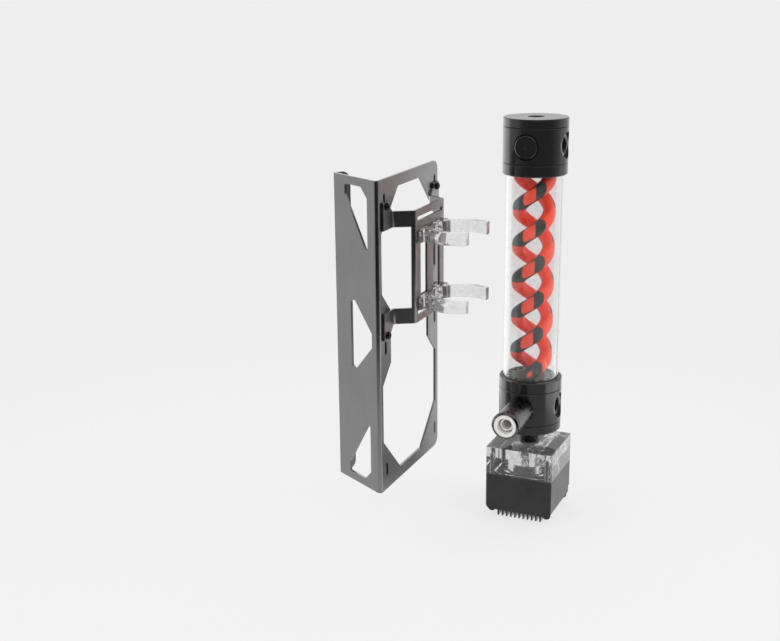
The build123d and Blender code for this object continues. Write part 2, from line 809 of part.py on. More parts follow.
def main():
    os.makedirs("parts", exist_ok=True)
    save("main_bracket", make_bracket())
    save("clip_carrier", make_carrier())
    save("carrier_screws", Compound(make_carrier_screws()))
    save("carrier_nuts", Compound(make_carrier_nuts()))
    for name, level in (("upper", clip_middle + clip_spacing / 2), ("lower", clip_middle - clip_spacing / 2)):
        save(name + "_clip", make_clip(level))
        save(name + "_clip_strap", make_strap(level))
        save(name + "_clip_screws", Compound(make_clip_screws(level)))

    tube_low = tube_base - cap_collar - tube_end
    tube_high = tube_top + cap_collar + tube_end
    save("reservoir_tube", column * ring(tube_radius, tube_radius - tube_wall, tube_low, tube_high))
    save("bottom_collar", place_bottom(make_collar(), tube_base - cap_collar))
    save("bottom_cap", place_bottom(make_cap_body(), bottom_port))
    save("bottom_end_plate", place_bottom(make_end_plate(neck_thread / 2), bottom_cap_end + cap_end))
    save("top_collar", place_top(make_collar(), tube_top + cap_collar))
    save("top_cap", place_top(make_cap_body(), top_port))
    save("top_end_plate", place_top(make_end_plate(port_radius), top_port + cap_body / 2))
    seal = ring(tube_radius + seal_section - fit_gap, tube_radius + fit_gap / 2, 0, seal_section - fit_gap)
    save("bottom_tube_seal", column * Pos(0, 0, tube_base - cap_collar - seal_section + fit_gap / 2) * seal)
    save("top_tube_seal", column * Pos(0, 0, tube_top + cap_collar + fit_gap / 2) * seal)

    for name, turn in (("a", 0), ("b", 180)):
        save("helix_strand_" + name, make_strand(turn))
    save("helix_base", make_helix_base())
    save("helix_ring", make_helix_ring())

    save("front_plug", at_port(make_plug(), top_port, -90))
    save("front_plug_seal", at_port(make_port_seal(), top_port, -90))
    save("fitting_seal", at_port(make_port_seal(), bottom_port, -90))
    save("fitting_body", at_port(make_fitting_body(), bottom_port, -90))
    save("fitting_collar", at_port(make_fitting_collar(), bottom_port, -90))
    save("fitting_ring", at_port(make_fitting_ring(), bottom_port, -90))

    save("pump_coupler", make_coupler())
    save("coupler_upper_seal", make_neck_seal(bottom_cap_end - neck_seal))
    save("coupler_lower_seal", make_neck_seal(pump_top_level - neck_recess))
    save("pump_top", make_pump_top())
    save("pump_gasket", make_gasket())
    save("motor_well", make_motor_well())
    save("motor_shaft", make_shaft())
    save("rotor_magnet", make_rotor_magnet())
    save("impeller", make_impeller())
    save("stator_core", make_stator())
    save("stator_coils", make_coils())
    save("circuit_board", make_board())
    save("pump_housing", make_housing())
    save("pump_bolts", make_pump_bolts())


main()
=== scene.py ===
import json
import math

import bpy
from mathutils import Matrix, Vector


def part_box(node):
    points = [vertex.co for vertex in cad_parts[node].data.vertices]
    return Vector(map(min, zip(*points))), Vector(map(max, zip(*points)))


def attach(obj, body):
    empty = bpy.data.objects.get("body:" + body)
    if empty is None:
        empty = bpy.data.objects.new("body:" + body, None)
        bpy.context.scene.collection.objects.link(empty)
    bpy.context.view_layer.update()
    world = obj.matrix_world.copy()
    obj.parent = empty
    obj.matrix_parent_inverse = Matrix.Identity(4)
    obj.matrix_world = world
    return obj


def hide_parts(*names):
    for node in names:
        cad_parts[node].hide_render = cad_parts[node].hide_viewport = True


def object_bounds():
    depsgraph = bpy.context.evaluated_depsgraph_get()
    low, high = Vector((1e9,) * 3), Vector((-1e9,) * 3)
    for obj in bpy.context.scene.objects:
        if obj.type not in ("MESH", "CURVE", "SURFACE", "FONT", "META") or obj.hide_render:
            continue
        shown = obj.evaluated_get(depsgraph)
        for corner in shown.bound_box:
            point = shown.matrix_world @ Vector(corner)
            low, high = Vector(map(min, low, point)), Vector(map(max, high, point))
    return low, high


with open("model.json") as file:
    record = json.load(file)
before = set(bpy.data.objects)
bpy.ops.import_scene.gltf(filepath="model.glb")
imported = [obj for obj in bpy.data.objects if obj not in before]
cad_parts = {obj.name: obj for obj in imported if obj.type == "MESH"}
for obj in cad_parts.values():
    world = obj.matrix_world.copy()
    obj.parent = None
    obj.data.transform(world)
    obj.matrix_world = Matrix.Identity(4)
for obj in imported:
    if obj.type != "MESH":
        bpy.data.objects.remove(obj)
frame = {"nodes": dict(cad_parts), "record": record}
nodes = frame["nodes"]
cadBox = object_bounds()
print("frame loaded:", len(nodes), "nodes")

mm = 0.001
mounts = {mount["name"]: mount for mount in frame["record"]["mounts"]}
slotOf = {part["node"]: part["material_slot"] for part in frame["record"]["subparts"]}
axisX, axisY = mounts["fill_port"]["pos_m"][:2]      # upright axis of the column
frontAngle = math.radians(-65.75)                    # side of the column turned to the camera, from which the helix's painted reflection is laid out
waveBands = 20                                       # bands a wave texture draws in one unit of its scale
wearCosines = (0.985, 0.90)                          # of an edge's turn, where wear starts and where it is full
raySamples = 6                                       # for the edge and fold masks
thinEnd = 0.02                                       # part of their size that tapered coil ends keep
sharpAngle = math.radians(35)                        # turned faces that meet at over this keep a crisp edge


def linearColor(hexCode):
    channels = [int(hexCode[i:i + 2], 16) / 255 for i in (1, 3, 5)]
    return tuple(c / 12.92 if c <= 0.04045 else ((c + 0.055) / 1.055) ** 2.4 for c in channels) + (1.0,)


def addNode(tree, kind, inputs=None, **settings):
    # an input may be a value, a hex colour, a socket, or a node, whose first output is linked
    node = tree.nodes.new("ShaderNode" + kind)
    for name, value in settings.items():
        setattr(node, name, value)
    for name, value in (inputs or {}).items():
        if isinstance(value, bpy.types.Node):
            value = value.outputs[0]
        if isinstance(value, bpy.types.NodeSocket):
            tree.links.new(value, node.inputs[name])
        else:
            node.inputs[name].default_value = linearColor(value) if isinstance(value, str) else value
    return node


def newMaterial(name):
    material = bpy.data.materials.new(name)
    material.use_nodes = True
    return material, material.node_tree, material.node_tree.nodes["Principled BSDF"]


def placeOf(tree, scale=(1, 1, 1)):
    # the piece's own coordinates, in metres, stretched for grain
    coords = addNode(tree, "TexCoord")
    return addNode(tree, "Mapping", {"Vector": coords.outputs["Object"], "Scale": scale})


def edgeMask(tree, width):
    # 1 on rounded edges, where coating wears through
    bevel = addNode(tree, "Bevel", {"Radius": width}, samples=raySamples)
    flat = addNode(tree, "NewGeometry")
    dot = addNode(tree, "VectorMath", {0: bevel, 1: flat.outputs["Normal"]}, operation="DOT_PRODUCT")
    return addNode(tree, "MapRange", {"Value": dot.outputs["Value"], "From Min": wearCosines[0],
                                      "From Max": wearCosines[1]}, interpolation_type="SMOOTHSTEP")


def layTones(tree, s, tone):
    # two colours follow the pattern, and a third wears through at the edges
    low, high = s["toneSpan"]
    shade = addNode(tree, "MapRange", {"Value": tone, "From Min": low, "From Max": high},
                    interpolation_type="SMOOTHSTEP")
    color = addNode(tree, "Mix", {0: shade, 6: s["tones"][0], 7: s["tones"][1]}, data_type="RGBA").outputs[2]
    if "edge" in s:
        rounded = edgeMask(tree, s["edgeWidth"])
        worn = addNode(tree, "Math", {0: rounded, 1: s["edgeWear"]}, operation="MULTIPLY")
        color = addNode(tree, "Mix", {0: worn, 6: color, 7: s["edge"]}, data_type="RGBA").outputs[2]
    return color


def finishSurface(tree, shader, s, color, skin, heights):
    # the roughness follows the skin's pattern, and the heights are raised one over another
    tree.links.new(color, shader.inputs["Base Color"])
    for socket, key in (("Metallic", "metallic"), ("IOR", "ior"), ("Coat Weight", "coat")):
        if key in s:
            shader.inputs[socket].default_value = s[key]
    low, high = s["skinSpan"]
    rough = addNode(tree, "MapRange", {"Value": skin, "From Min": low, "From Max": high,
                                       "To Min": s["roughness"][0], "To Max": s["roughness"][1]},
                    interpolation_type="SMOOTHSTEP")
    tree.links.new(rough.outputs[0], shader.inputs["Roughness"])
    normal = None
    for height, (strength, distance) in zip(heights, s["relief"]):
        inputs = {"Height": height, "Strength": strength, "Distance": distance}
        if normal:
            inputs["Normal"] = normal
        normal = addNode(tree, "Bump", inputs)
    tree.links.new(normal.outputs[0], shader.inputs["Normal"])


# Mild steel sheet, cold rolled, laser cut and folded, with a thin clear grey coat: a soft
# satin mirror with faint rolling lines, brighter at the cut edges, and with painted shade deep in the folds
sheetSteel = {"tones": ("#838384", "#8C8C8D"), "toneSpan": (0.3, 0.7), "edge": "#A9A9AA", "edgeWidth": 0.5 * mm,
              "edgeWear": 0.5, "foldShade": "#1E1E1F", "shadeReach": 26 * mm, "shadeSpan": (0.12, 0.62),
              "grainLength": 30 * mm, "grainWidth": 0.8 * mm,         # real rolling lines are under 0.1 mm wide
              "grainPart": 0.5, "cloud": 45 * mm, "peel": 1.6 * mm, "metallic": 1.0, "skinSpan": (0.25, 0.75),
              "roughness": (0.28, 0.35), "relief": ((0.04, 0.03 * mm), (0.08, 0.05 * mm))}


def makeSheetSteel():
    s = sheetSteel
    material, tree, shader = newMaterial("foldedSheetSteel")
    stretch = (1 / s["grainWidth"], 1 / s["grainWidth"], 1 / s["grainLength"])
    grain = addNode(tree, "TexNoise", {"Vector": placeOf(tree, stretch), "Scale": 1.0, "Detail": 3.0})
    cloud = addNode(tree, "TexNoise", {"Vector": placeOf(tree), "Scale": 1 / s["cloud"], "Detail": 2.0})
    peel = addNode(tree, "TexNoise", {"Vector": placeOf(tree), "Scale": 1 / s["peel"], "Detail": 2.0})
    clouded = addNode(tree, "Math", {0: cloud, 1: 1 - s["grainPart"]}, operation="MULTIPLY")
    tone = addNode(tree, "Math", {0: grain, 1: s["grainPart"], 2: clouded}, operation="MULTIPLY_ADD")
    # painted shade: the colour turns darker where the piece closes in on itself, in folds, slots and behind the
    # carrier
    openness = addNode(tree, "AmbientOcclusion", {"Distance": s["shadeReach"]}, samples=raySamples,
                       only_local=True)
    unshaded = addNode(tree, "MapRange", {"Value": openness.outputs["AO"], "From Min": s["shadeSpan"][0],
                                          "From Max": s["shadeSpan"][1]}, interpolation_type="SMOOTHSTEP")
    color = addNode(tree, "Mix", {0: unshaded, 6: s["foldShade"], 7: layTones(tree, s, tone)}, data_type="RGBA")
    finishSurface(tree, shader, s, color.outputs[2], tone, (grain, peel))
    return material


# Black oxide on steel screws, nuts and straps: oily black with a dull gleam, and bare steel at the corners
blackOxide = {"tones": ("#1B1B1C", "#2C2B2B"), "toneSpan": (0.35, 0.65), "edge": "#6F6E6C",
              "edgeWidth": 0.2 * mm, "edgeWear": 0.6, "mottle": 1.5 * mm, "metallic": 0.9,
              "skinSpan": (0.3, 0.7), "roughness": (0.32, 0.46), "relief": ((0.15, 0.05 * mm),)}


def makeBlackOxide():
    s = blackOxide
    material, tree, shader = newMaterial("blackOxideSteel")
    mottle = addNode(tree, "TexNoise", {"Vector": placeOf(tree), "Scale": 1 / s["mottle"], "Detail": 4.0})
    finishSurface(tree, shader, s, layTones(tree, s, mottle), mottle, (mottle,))
    return material


# Cast acrylic (PMMA), clear: the tube is polished and clear as glass, the clips are cut from sheet
# with faintly frosted edges, and the pump block is milled, so it is greyer and wavy
castAcrylic = {"tube": {"tones": ("#F8F8F8", "#EFEFEE"), "roughness": (0.02, 0.06), "milk": 0.0,
                        "relief": ((0.08, 0.05 * mm),)},
               "clip": {"tones": ("#F4F4F4", "#E6E6E6"), "roughness": (0.03, 0.07), "milk": 0.08,
                        "relief": ((0.2, 0.05 * mm),)},
               "block": {"tones": ("#E8E8E8", "#CFCFD0"), "roughness": (0.02, 0.06), "milk": 0.08,
                         "relief": ((0.5, 0.05 * mm),)},
               "all": {"ripple": 3.0 * mm, "toneSpan": (0.3, 0.7), "skinSpan": (0.3, 0.7), "ior": 1.49,
                       "through": "#FCFCFC"}}


def makeCastAcrylic(kind):
    s = {**castAcrylic["all"], **castAcrylic[kind]}
    material, tree, shader = newMaterial("castAcrylic" + kind.capitalize())
    ripple = addNode(tree, "TexNoise", {"Vector": placeOf(tree), "Scale": 1 / s["ripple"], "Detail": 2.0})
    finishSurface(tree, shader, s, layTones(tree, s, ripple), ripple, (ripple,))
    shader.inputs["Transmission Weight"].default_value = 1.0 - s["milk"]
    # light passes through to what stands inside and behind, so the clear pieces hardly shade it
    path = addNode(tree, "LightPath")
    passing = addNode(tree, "Math", {0: path.outputs["Is Shadow Ray"], 1: path.outputs["Is Diffuse Ray"]},
                      operation="MAXIMUM")
    through = addNode(tree, "BsdfTransparent", {"Color": s["through"]})
    mix = addNode(tree, "MixShader", {0: passing, 1: shader, 2: through})
    tree.links.new(mix.outputs[0], tree.nodes["Material Output"].inputs["Surface"])
    return material


# Black anodised aluminium, turned on a lathe: black, with a clear gloss and fine turning
# rings, and a bright rubbed line at the corners
anodised = {"tones": ("#363637", "#404042"), "toneSpan": (0.35, 0.7), "edge": "#8B8C8E", "edgeWidth": 0.25 * mm,
            "edgeWear": 0.45, "turning": 0.9 * mm,             # real turning rings are about 0.2 mm apart
            "wobble": 1.2, "speck": 0.6 * mm,                  # and the real speck is under 0.1 mm
            "metallic": 0.7, "skinSpan": (0.3, 0.7), "roughness": (0.14, 0.22),
            "relief": ((0.05, 0.02 * mm), (0.06, 0.02 * mm))}


def makeBlackAnodised():
    s = anodised
    material, tree, shader = newMaterial("blackAnodisedAluminium")
    rings = addNode(tree, "TexWave", {"Vector": placeOf(tree), "Scale": 1 / (s["turning"] * waveBands),
                                      "Distortion": s["wobble"], "Detail": 2.0, "Detail Scale": 2.0},
                    wave_type="BANDS", bands_direction="Z").outputs["Fac"]
    speck = addNode(tree, "TexNoise", {"Vector": placeOf(tree), "Scale": 1 / s["speck"], "Detail": 3.0})
    finishSurface(tree, shader, s, layTones(tree, s, speck), speck, (speck, rings))
    return material


# Nitrile rubber rings, moulded: dull black with a slight bloom
nitrile = {"tones": ("#121212", "#242425"), "toneSpan": (0.4, 0.75), "grit": 0.5 * mm,   # real grit is finer
           "ior": 1.52, "skinSpan": (0.3, 0.7), "roughness": (0.56, 0.70), "relief": ((0.25, 0.05 * mm),)}


def makeNitrile():
    s = nitrile
    material, tree, shader = newMaterial("nitrileRubber")
    grit = addNode(tree, "TexNoise", {"Vector": placeOf(tree), "Scale": 1 / s["grit"], "Detail": 3.0})
    finishSurface(tree, shader, s, layTones(tree, s, grit), grit, (grit,))
    return material


# Red acrylic of the helix: even colour, smooth skin with a low gloss, and a slightly deeper red where the
# moulding flowed. On the outer faces on the side turned to the camera, dark grey is painted as a reflection
# of dark surroundings, with a red oval in it as a painted highlight, and a thin dark line of painted shade runs
# down the right hand side. Angles are degrees round the column from its front. On a strand, upward runs
# from -1 at its lower edge to 1 at its upper one, and outward from -1 at its inner face to 1 at its outer one
redWithPaintedReflection = {"red": {"tones": ("#F4523C", "#EC4A35"), "toneSpan": (0.35, 0.65)},
           "dark": {"tones": ("#3C413F", "#474C4A"), "toneSpan": (0.35, 0.65)},
           "flow": 9 * mm, "skin": 0.8 * mm, "ior": 1.49, "skinSpan": (0.3, 0.7), "roughness": (0.37, 0.50),
           "relief": ((0.08, 0.03 * mm),),              # the real skin is finer
           "lobe": {"end": -90.0, "slant": 45.0, "soft": 1.5},
           "patch": {"end": 25.0, "round": 10.0, "curve": 3.0, "soft": 1.0},
           "oval": {"left": -36.0, "round": 17.0, "right": -3.0, "middle": 0.07, "half": 0.83, "bowCurve": 2.4,
                    "riseCurve": 4.0, "rim": (1.05, 0.92), "soft": 0.6},
           "footOval": {"from": 8 * mm, "to": 22.4 * mm, "size": 0.42}, "outerFace": (-0.35, -0.25),
           "shadeLine": {"from": 74.0, "to": 104.0, "soft": 2.0, "face": (0.55, 0.65)}}


def makeRedWithPaintedReflection():
    s = redWithPaintedReflection
    lobe, patch, oval, foot, shadeLine = (s[key] for key in ("lobe", "patch", "oval", "footOval", "shadeLine"))
    material, tree, shader = newMaterial("redAcrylicPaintedReflection")
    coords = addNode(tree, "TexCoord")
    spot = addNode(tree, "SeparateXYZ", {0: coords.outputs["Object"]})
    offX = addNode(tree, "Math", {0: spot.outputs["X"], 1: axisX}, operation="SUBTRACT")
    offY = addNode(tree, "Math", {0: spot.outputs["Y"], 1: axisY}, operation="SUBTRACT")
    heading = addNode(tree, "Math", {0: offY, 1: offX}, operation="ARCTAN2")
    turn = addNode(tree, "Math", {0: heading, 1: frontAngle}, operation="SUBTRACT")
    turn = addNode(tree, "Math", {0: turn, 1: math.pi, 2: -math.pi}, operation="WRAP")
    degrees = addNode(tree, "Math", {0: turn, 1: 180 / math.pi}, operation="MULTIPLY")
    across = addNode(tree, "SeparateXYZ", {0: coords.outputs["UV"]})
    upward = addNode(tree, "Math", {0: across.outputs["Y"], 1: 2.0, 2: -1.0}, operation="MULTIPLY_ADD")
    outward = addNode(tree, "Math", {0: across.outputs["X"], 1: 2.0, 2: -1.0}, operation="MULTIPLY_ADD")
    steep = addNode(tree, "Math", {0: upward}, operation="ABSOLUTE")
    # the painted reflection, a dark field, runs from a slanting line on the left to a rounded end on the right
    slanted = addNode(tree, "Math", {0: upward, 1: lobe["slant"], 2: degrees}, operation="MULTIPLY_ADD")
    leftSide = addNode(tree, "MapRange", {"Value": slanted, "From Min": lobe["end"] - lobe["soft"],
                                          "From Max": lobe["end"] + lobe["soft"]},
                       interpolation_type="SMOOTHSTEP")
    curved = addNode(tree, "Math", {0: steep, 1: patch["curve"]}, operation="POWER")
    rounded = addNode(tree, "Math", {0: curved, 1: patch["round"], 2: degrees}, operation="MULTIPLY_ADD")
    rightSide = addNode(tree, "MapRange", {"Value": rounded, "From Min": patch["end"] + patch["soft"],
                                           "From Max": patch["end"] - patch["soft"]},
                        interpolation_type="SMOOTHSTEP")
    field = addNode(tree, "Math", {0: leftSide, 1: rightSide}, operation="MULTIPLY")
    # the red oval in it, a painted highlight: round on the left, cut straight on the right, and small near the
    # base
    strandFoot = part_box("helix_strand_a")[0][2]
    size = addNode(tree, "MapRange", {"Value": spot.outputs["Z"], "From Min": strandFoot + foot["from"],
                                      "From Max": strandFoot + foot["to"], "To Min": foot["size"],
                                      "To Max": 1.0}, interpolation_type="SMOOTHSTEP")
    fromRight = addNode(tree, "Math", {0: oval["right"], 1: degrees}, operation="SUBTRACT")
    straightLength = oval["right"] - oval["left"] - oval["round"]
    straight = addNode(tree, "Math", {0: size, 1: straightLength}, operation="MULTIPLY")
    bow = addNode(tree, "Math", {0: fromRight, 1: straight}, operation="SUBTRACT")
    bow = addNode(tree, "Math", {0: bow, 1: 0.0}, operation="MAXIMUM")
    roundPart = addNode(tree, "Math", {0: size, 1: oval["round"]}, operation="MULTIPLY")
    bow = addNode(tree, "Math", {0: bow, 1: roundPart}, operation="DIVIDE")
    bow = addNode(tree, "Math", {0: bow, 1: oval["bowCurve"]}, operation="POWER")
    rise = addNode(tree, "Math", {0: upward, 1: 1 / oval["half"], 2: -oval["middle"] / oval["half"]},
                   operation="MULTIPLY_ADD")
    rise = addNode(tree, "Math", {0: rise}, operation="ABSOLUTE")
    rise = addNode(tree, "Math", {0: rise, 1: size}, operation="DIVIDE")
    rise = addNode(tree, "Math", {0: rise, 1: oval["riseCurve"]}, operation="POWER")
    reach = addNode(tree, "Math", {0: bow, 1: rise}, operation="ADD")
    within = addNode(tree, "MapRange", {"Value": reach, "From Min": oval["rim"][0], "From Max": oval["rim"][1]},
                     interpolation_type="SMOOTHSTEP")
    cut = addNode(tree, "MapRange", {"Value": fromRight, "From Min": -oval["soft"], "From Max": oval["soft"]},
                  interpolation_type="SMOOTHSTEP")
    paintedHighlight = addNode(tree, "Math", {0: within, 1: cut}, operation="MULTIPLY")
    aroundOval = addNode(tree, "Math", {0: 1.0, 1: paintedHighlight}, operation="SUBTRACT")
    outerFace = addNode(tree, "MapRange", {"Value": outward, "From Min": s["outerFace"][0],
                                           "From Max": s["outerFace"][1]}, interpolation_type="SMOOTHSTEP")
    dark = addNode(tree, "Math", {0: field, 1: aroundOval}, operation="MULTIPLY")
    dark = addNode(tree, "Math", {0: dark, 1: outerFace}, operation="MULTIPLY")
    # a thin dark line of painted shade down the right hand side
    shadeLineStart = addNode(tree, "MapRange", {"Value": degrees, "From Min": shadeLine["from"],
                                           "From Max": shadeLine["from"] + shadeLine["soft"]},
                        interpolation_type="SMOOTHSTEP")
    shadeLineEnd = addNode(tree, "MapRange", {"Value": degrees, "From Min": shadeLine["to"] + shadeLine["soft"],
                                         "From Max": shadeLine["to"]}, interpolation_type="SMOOTHSTEP")
    shadeLineFace = addNode(tree, "MapRange", {"Value": outward, "From Min": shadeLine["face"][0],
                                          "From Max": shadeLine["face"][1]}, interpolation_type="SMOOTHSTEP")
    line = addNode(tree, "Math", {0: shadeLineStart, 1: shadeLineEnd}, operation="MULTIPLY")
    line = addNode(tree, "Math", {0: line, 1: shadeLineFace}, operation="MULTIPLY")
    dark = addNode(tree, "Math", {0: dark, 1: line}, operation="MAXIMUM")
    flow = addNode(tree, "TexNoise", {"Vector": placeOf(tree), "Scale": 1 / s["flow"], "Detail": 2.0})
    skin = addNode(tree, "TexNoise", {"Vector": placeOf(tree), "Scale": 1 / s["skin"], "Detail": 3.0})
    redTones, darkTones = layTones(tree, s["red"], flow), layTones(tree, s["dark"], flow)
    # dark tones where the painted reflection and painted shade lie, red tones elsewhere
    color = addNode(tree, "Mix", {0: dark, 6: redTones, 7: darkTones}, data_type="RGBA")
    finishSurface(tree, shader, s, color.outputs[2], skin, (skin,))
    return material


# Dark grey acrylic of the helix's base and ring, moulded: a smooth skin with a low gloss
darkAcrylic = {"tones": ("#323735", "#404543"), "toneSpan": (0.35, 0.65), "flow": 6 * mm, "skin": 0.8 * mm,
               "ior": 1.49, "skinSpan": (0.3, 0.7), "roughness": (0.35, 0.48), "relief": ((0.1, 0.03 * mm),)}


def makeDarkAcrylic():
    s = darkAcrylic
    material, tree, shader = newMaterial("darkMouldedAcrylic")
    flow = addNode(tree, "TexNoise", {"Vector": placeOf(tree), "Scale": 1 / s["flow"], "Detail": 2.0})
    skin = addNode(tree, "TexNoise", {"Vector": placeOf(tree), "Scale": 1 / s["skin"], "Detail": 3.0})
    finishSurface(tree, shader, s, layTones(tree, s, flow), skin, (skin,))
    return material


# Brass with a black nickel plate: glossier and a little warmer than the anodised caps
blackNickel = {"tones": ("#565657", "#676768"), "toneSpan": (0.35, 0.65), "edge": "#93918C",
               "edgeWidth": 0.25 * mm, "edgeWear": 0.5, "cloud": 4 * mm, "metallic": 1.0,
               "skinSpan": (0.3, 0.7), "roughness": (0.20, 0.30), "relief": ((0.08, 0.04 * mm),)}


def makeBlackNickel():
    s = blackNickel
    material, tree, shader = newMaterial("blackNickelBrass")
    cloud = addNode(tree, "TexNoise", {"Vector": placeOf(tree), "Scale": 1 / s["cloud"], "Detail": 4.0})
    finishSurface(tree, shader, s, layTones(tree, s, cloud), cloud, (cloud,))
    return material


# Satin nickel plate on the fitting's front ring, sleeve and barb, also worn by the ports' seal faces:
# near white and finely blasted, so that it scatters light much as paint does; on the sleeve and the seal faces
# this pale colour also carries painted reflection and painted highlight
brightNickel = {"tones": ("#FAF9F7", "#EDECE9"), "toneSpan": (0.35, 0.65), "swirl": 1.2 * mm, "twist": 1.5,
                "metallic": 0.3, "skinSpan": (0.3, 0.7), "roughness": (0.35, 0.46),
                "relief": ((0.06, 0.03 * mm),)}


def makeBrightNickel():
    s = brightNickel
    material, tree, shader = newMaterial("brightNickelPlate")
    swirl = addNode(tree, "TexNoise", {"Vector": placeOf(tree), "Scale": 1 / s["swirl"], "Detail": 4.0,
                                       "Distortion": s["twist"]})
    finishSurface(tree, shader, s, layTones(tree, s, swirl), swirl, (swirl,))
    return material


# Glass filled PPS, injection moulded, for the impeller and the motor's can: matt black with pale fibres
glassFilled = {"tones": ("#202122", "#3B3C3D"), "toneSpan": (0.5, 0.75), "fibreLength": 2.2 * mm,
               "fibreWidth": 0.3 * mm,                  # real fibres are about 0.01 mm wide
               "ior": 1.55, "skinSpan": (0.3, 0.7), "roughness": (0.45, 0.60), "relief": ((0.15, 0.05 * mm),)}


def makeGlassFilled():
    s = glassFilled
    material, tree, shader = newMaterial("glassFilledPps")
    stretch = (1 / s["fibreWidth"], 1 / s["fibreWidth"], 1 / s["fibreLength"])
    fibre = addNode(tree, "TexNoise", {"Vector": placeOf(tree, stretch), "Scale": 1.0, "Detail": 2.0})
    finishSurface(tree, shader, s, layTones(tree, s, fibre), fibre, (fibre,))
    return material


# Alumina shaft, sintered and ground: white, with a tight soft gloss
alumina = {"tones": ("#E9E6DF", "#DAD6CC"), "toneSpan": (0.2, 0.7),
           "grain": 0.4 * mm,                           # real grains are under 0.01 mm
           "ior": 1.76, "skinSpan": (0.1, 0.8), "roughness": (0.22, 0.32), "relief": ((0.05, 0.02 * mm),)}


def makeAlumina():
    s = alumina
    material, tree, shader = newMaterial("groundAlumina")
    grain = addNode(tree, "TexVoronoi", {"Vector": placeOf(tree), "Scale": 1 / s["grain"]})
    finishSurface(tree, shader, s, layTones(tree, s, grain), grain, (grain,))
    return material


# Ferrite magnet, sintered: charcoal and finely pitted
ferrite = {"tones": ("#1A1919", "#2B2A2A"), "toneSpan": (0.05, 0.35),
           "pit": 0.5 * mm,                             # real pits are under 0.1 mm
           "skinSpan": (0.1, 0.8), "roughness": (0.65, 0.45), "relief": ((0.25, 0.05 * mm),)}


def makeFerrite():
    s = ferrite
    material, tree, shader = newMaterial("sinteredFerrite")
    pits = addNode(tree, "TexVoronoi", {"Vector": placeOf(tree), "Scale": 1 / s["pit"]})
    finishSurface(tree, shader, s, layTones(tree, s, pits), pits, (pits,))
    return material


# Electrical steel, stamped in thin sheets and stacked: grey, with a line at each sheet
laminated = {"tones": ("#2E2F31", "#6B6C70"), "toneSpan": (0.1, 0.4),
             "step": 1.0 * mm,                          # real sheets are 0.5 mm
             "wobble": 0.3, "metallic": 0.9, "skinSpan": (0.0, 1.0), "roughness": (0.46, 0.36),
             "relief": ((0.3, 0.1 * mm),)}


def makeLaminated():
    s = laminated
    material, tree, shader = newMaterial("laminatedSteel")
    lines = addNode(tree, "TexWave", {"Vector": placeOf(tree), "Scale": 1 / (s["step"] * waveBands),
                                      "Distortion": s["wobble"]},
                    wave_type="BANDS", bands_direction="Z").outputs["Fac"]
    finishSurface(tree, shader, s, layTones(tree, s, lines), lines, (lines,))
    return material


# Enamelled copper wire, wound: orange brown turns with a clear varnish
enamelled = {"tones": ("#4C2412", "#B4622E"), "toneSpan": (0.1, 0.6),
             "step": 0.9 * mm,                          # real wire is 0.4 mm
             "wobble": 0.8, "metallic": 0.8, "coat": 0.5, "skinSpan": (0.0, 1.0), "roughness": (0.45, 0.30),
             "relief": ((0.5, 0.2 * mm),)}


def makeEnamelled():
    s = enamelled
    material, tree, shader = newMaterial("enamelledCopper")
    turns = addNode(tree, "TexWave", {"Vector": placeOf(tree), "Scale": 1 / (s["step"] * waveBands),
                                      "Distortion": s["wobble"]},
                    wave_type="BANDS", bands_direction="Z").outputs["Fac"]
    finishSurface(tree, shader, s, layTones(tree, s, turns), turns, (turns,))
    return material


# FR4 circuit board: green resist over a glass weave, with slightly raised tracks
circuit = {"tones": ("#1F5A34", "#2F7A48"), "track": 3.0 * mm, "trackGap": 0.03,
           "weave": 1.0 * mm,                           # real weave is about 0.5 mm
           "ior": 1.55, "skinSpan": (0.0, 0.8), "roughness": (0.32, 0.44),
           "relief": ((0.1, 0.03 * mm), (0.3, 0.05 * mm))}


def makeCircuit():
    s = circuit
    material, tree, shader = newMaterial("fr4Board")
    tracks = addNode(tree, "TexBrick", {"Vector": placeOf(tree), "Scale": 1 / (s["track"] * 2),
                                        "Mortar Size": s["trackGap"]}).outputs["Fac"]
    weave = addNode(tree, "TexVoronoi", {"Vector": placeOf(tree), "Scale": 1 / s["weave"]},
                    distance="CHEBYCHEV")
    color = addNode(tree, "Mix", {0: tracks, 6: s["tones"][0], 7: s["tones"][1]}, data_type="RGBA")
    finishSurface(tree, shader, s, color.outputs[2], weave, (weave, tracks))
    return material


# Pump body in aluminium, bead blasted and anodised dark grey: a fine even sparkle, soft sheen,
# and brighter corners
blasted = {"tones": ("#464647", "#515152"), "toneSpan": (0.3, 0.65), "edge": "#8C8C8D", "edgeWidth": 0.4 * mm,
           "edgeWear": 0.5, "bead": 0.7 * mm,           # real dents are about 0.1 mm wide
           "beadPart": 0.35, "cloud": 20 * mm, "metallic": 1.0, "skinSpan": (0.3, 0.65),
           "roughness": (0.33, 0.42), "relief": ((0.12, 0.05 * mm),)}


def makeBlasted():
    s = blasted
    material, tree, shader = newMaterial("blastedAluminium")
    bead = addNode(tree, "TexVoronoi", {"Vector": placeOf(tree), "Scale": 1 / s["bead"]})
    cloud = addNode(tree, "TexNoise", {"Vector": placeOf(tree), "Scale": 1 / s["cloud"], "Detail": 3.0})
    clouded = addNode(tree, "Math", {0: cloud, 1: 1 - s["beadPart"]}, operation="MULTIPLY")
    tone = addNode(tree, "Math", {0: bead, 1: s["beadPart"], 2: clouded}, operation="MULTIPLY_ADD")
    finishSurface(tree, shader, s, layTones(tree, s, tone), tone, (bead,))
    return material


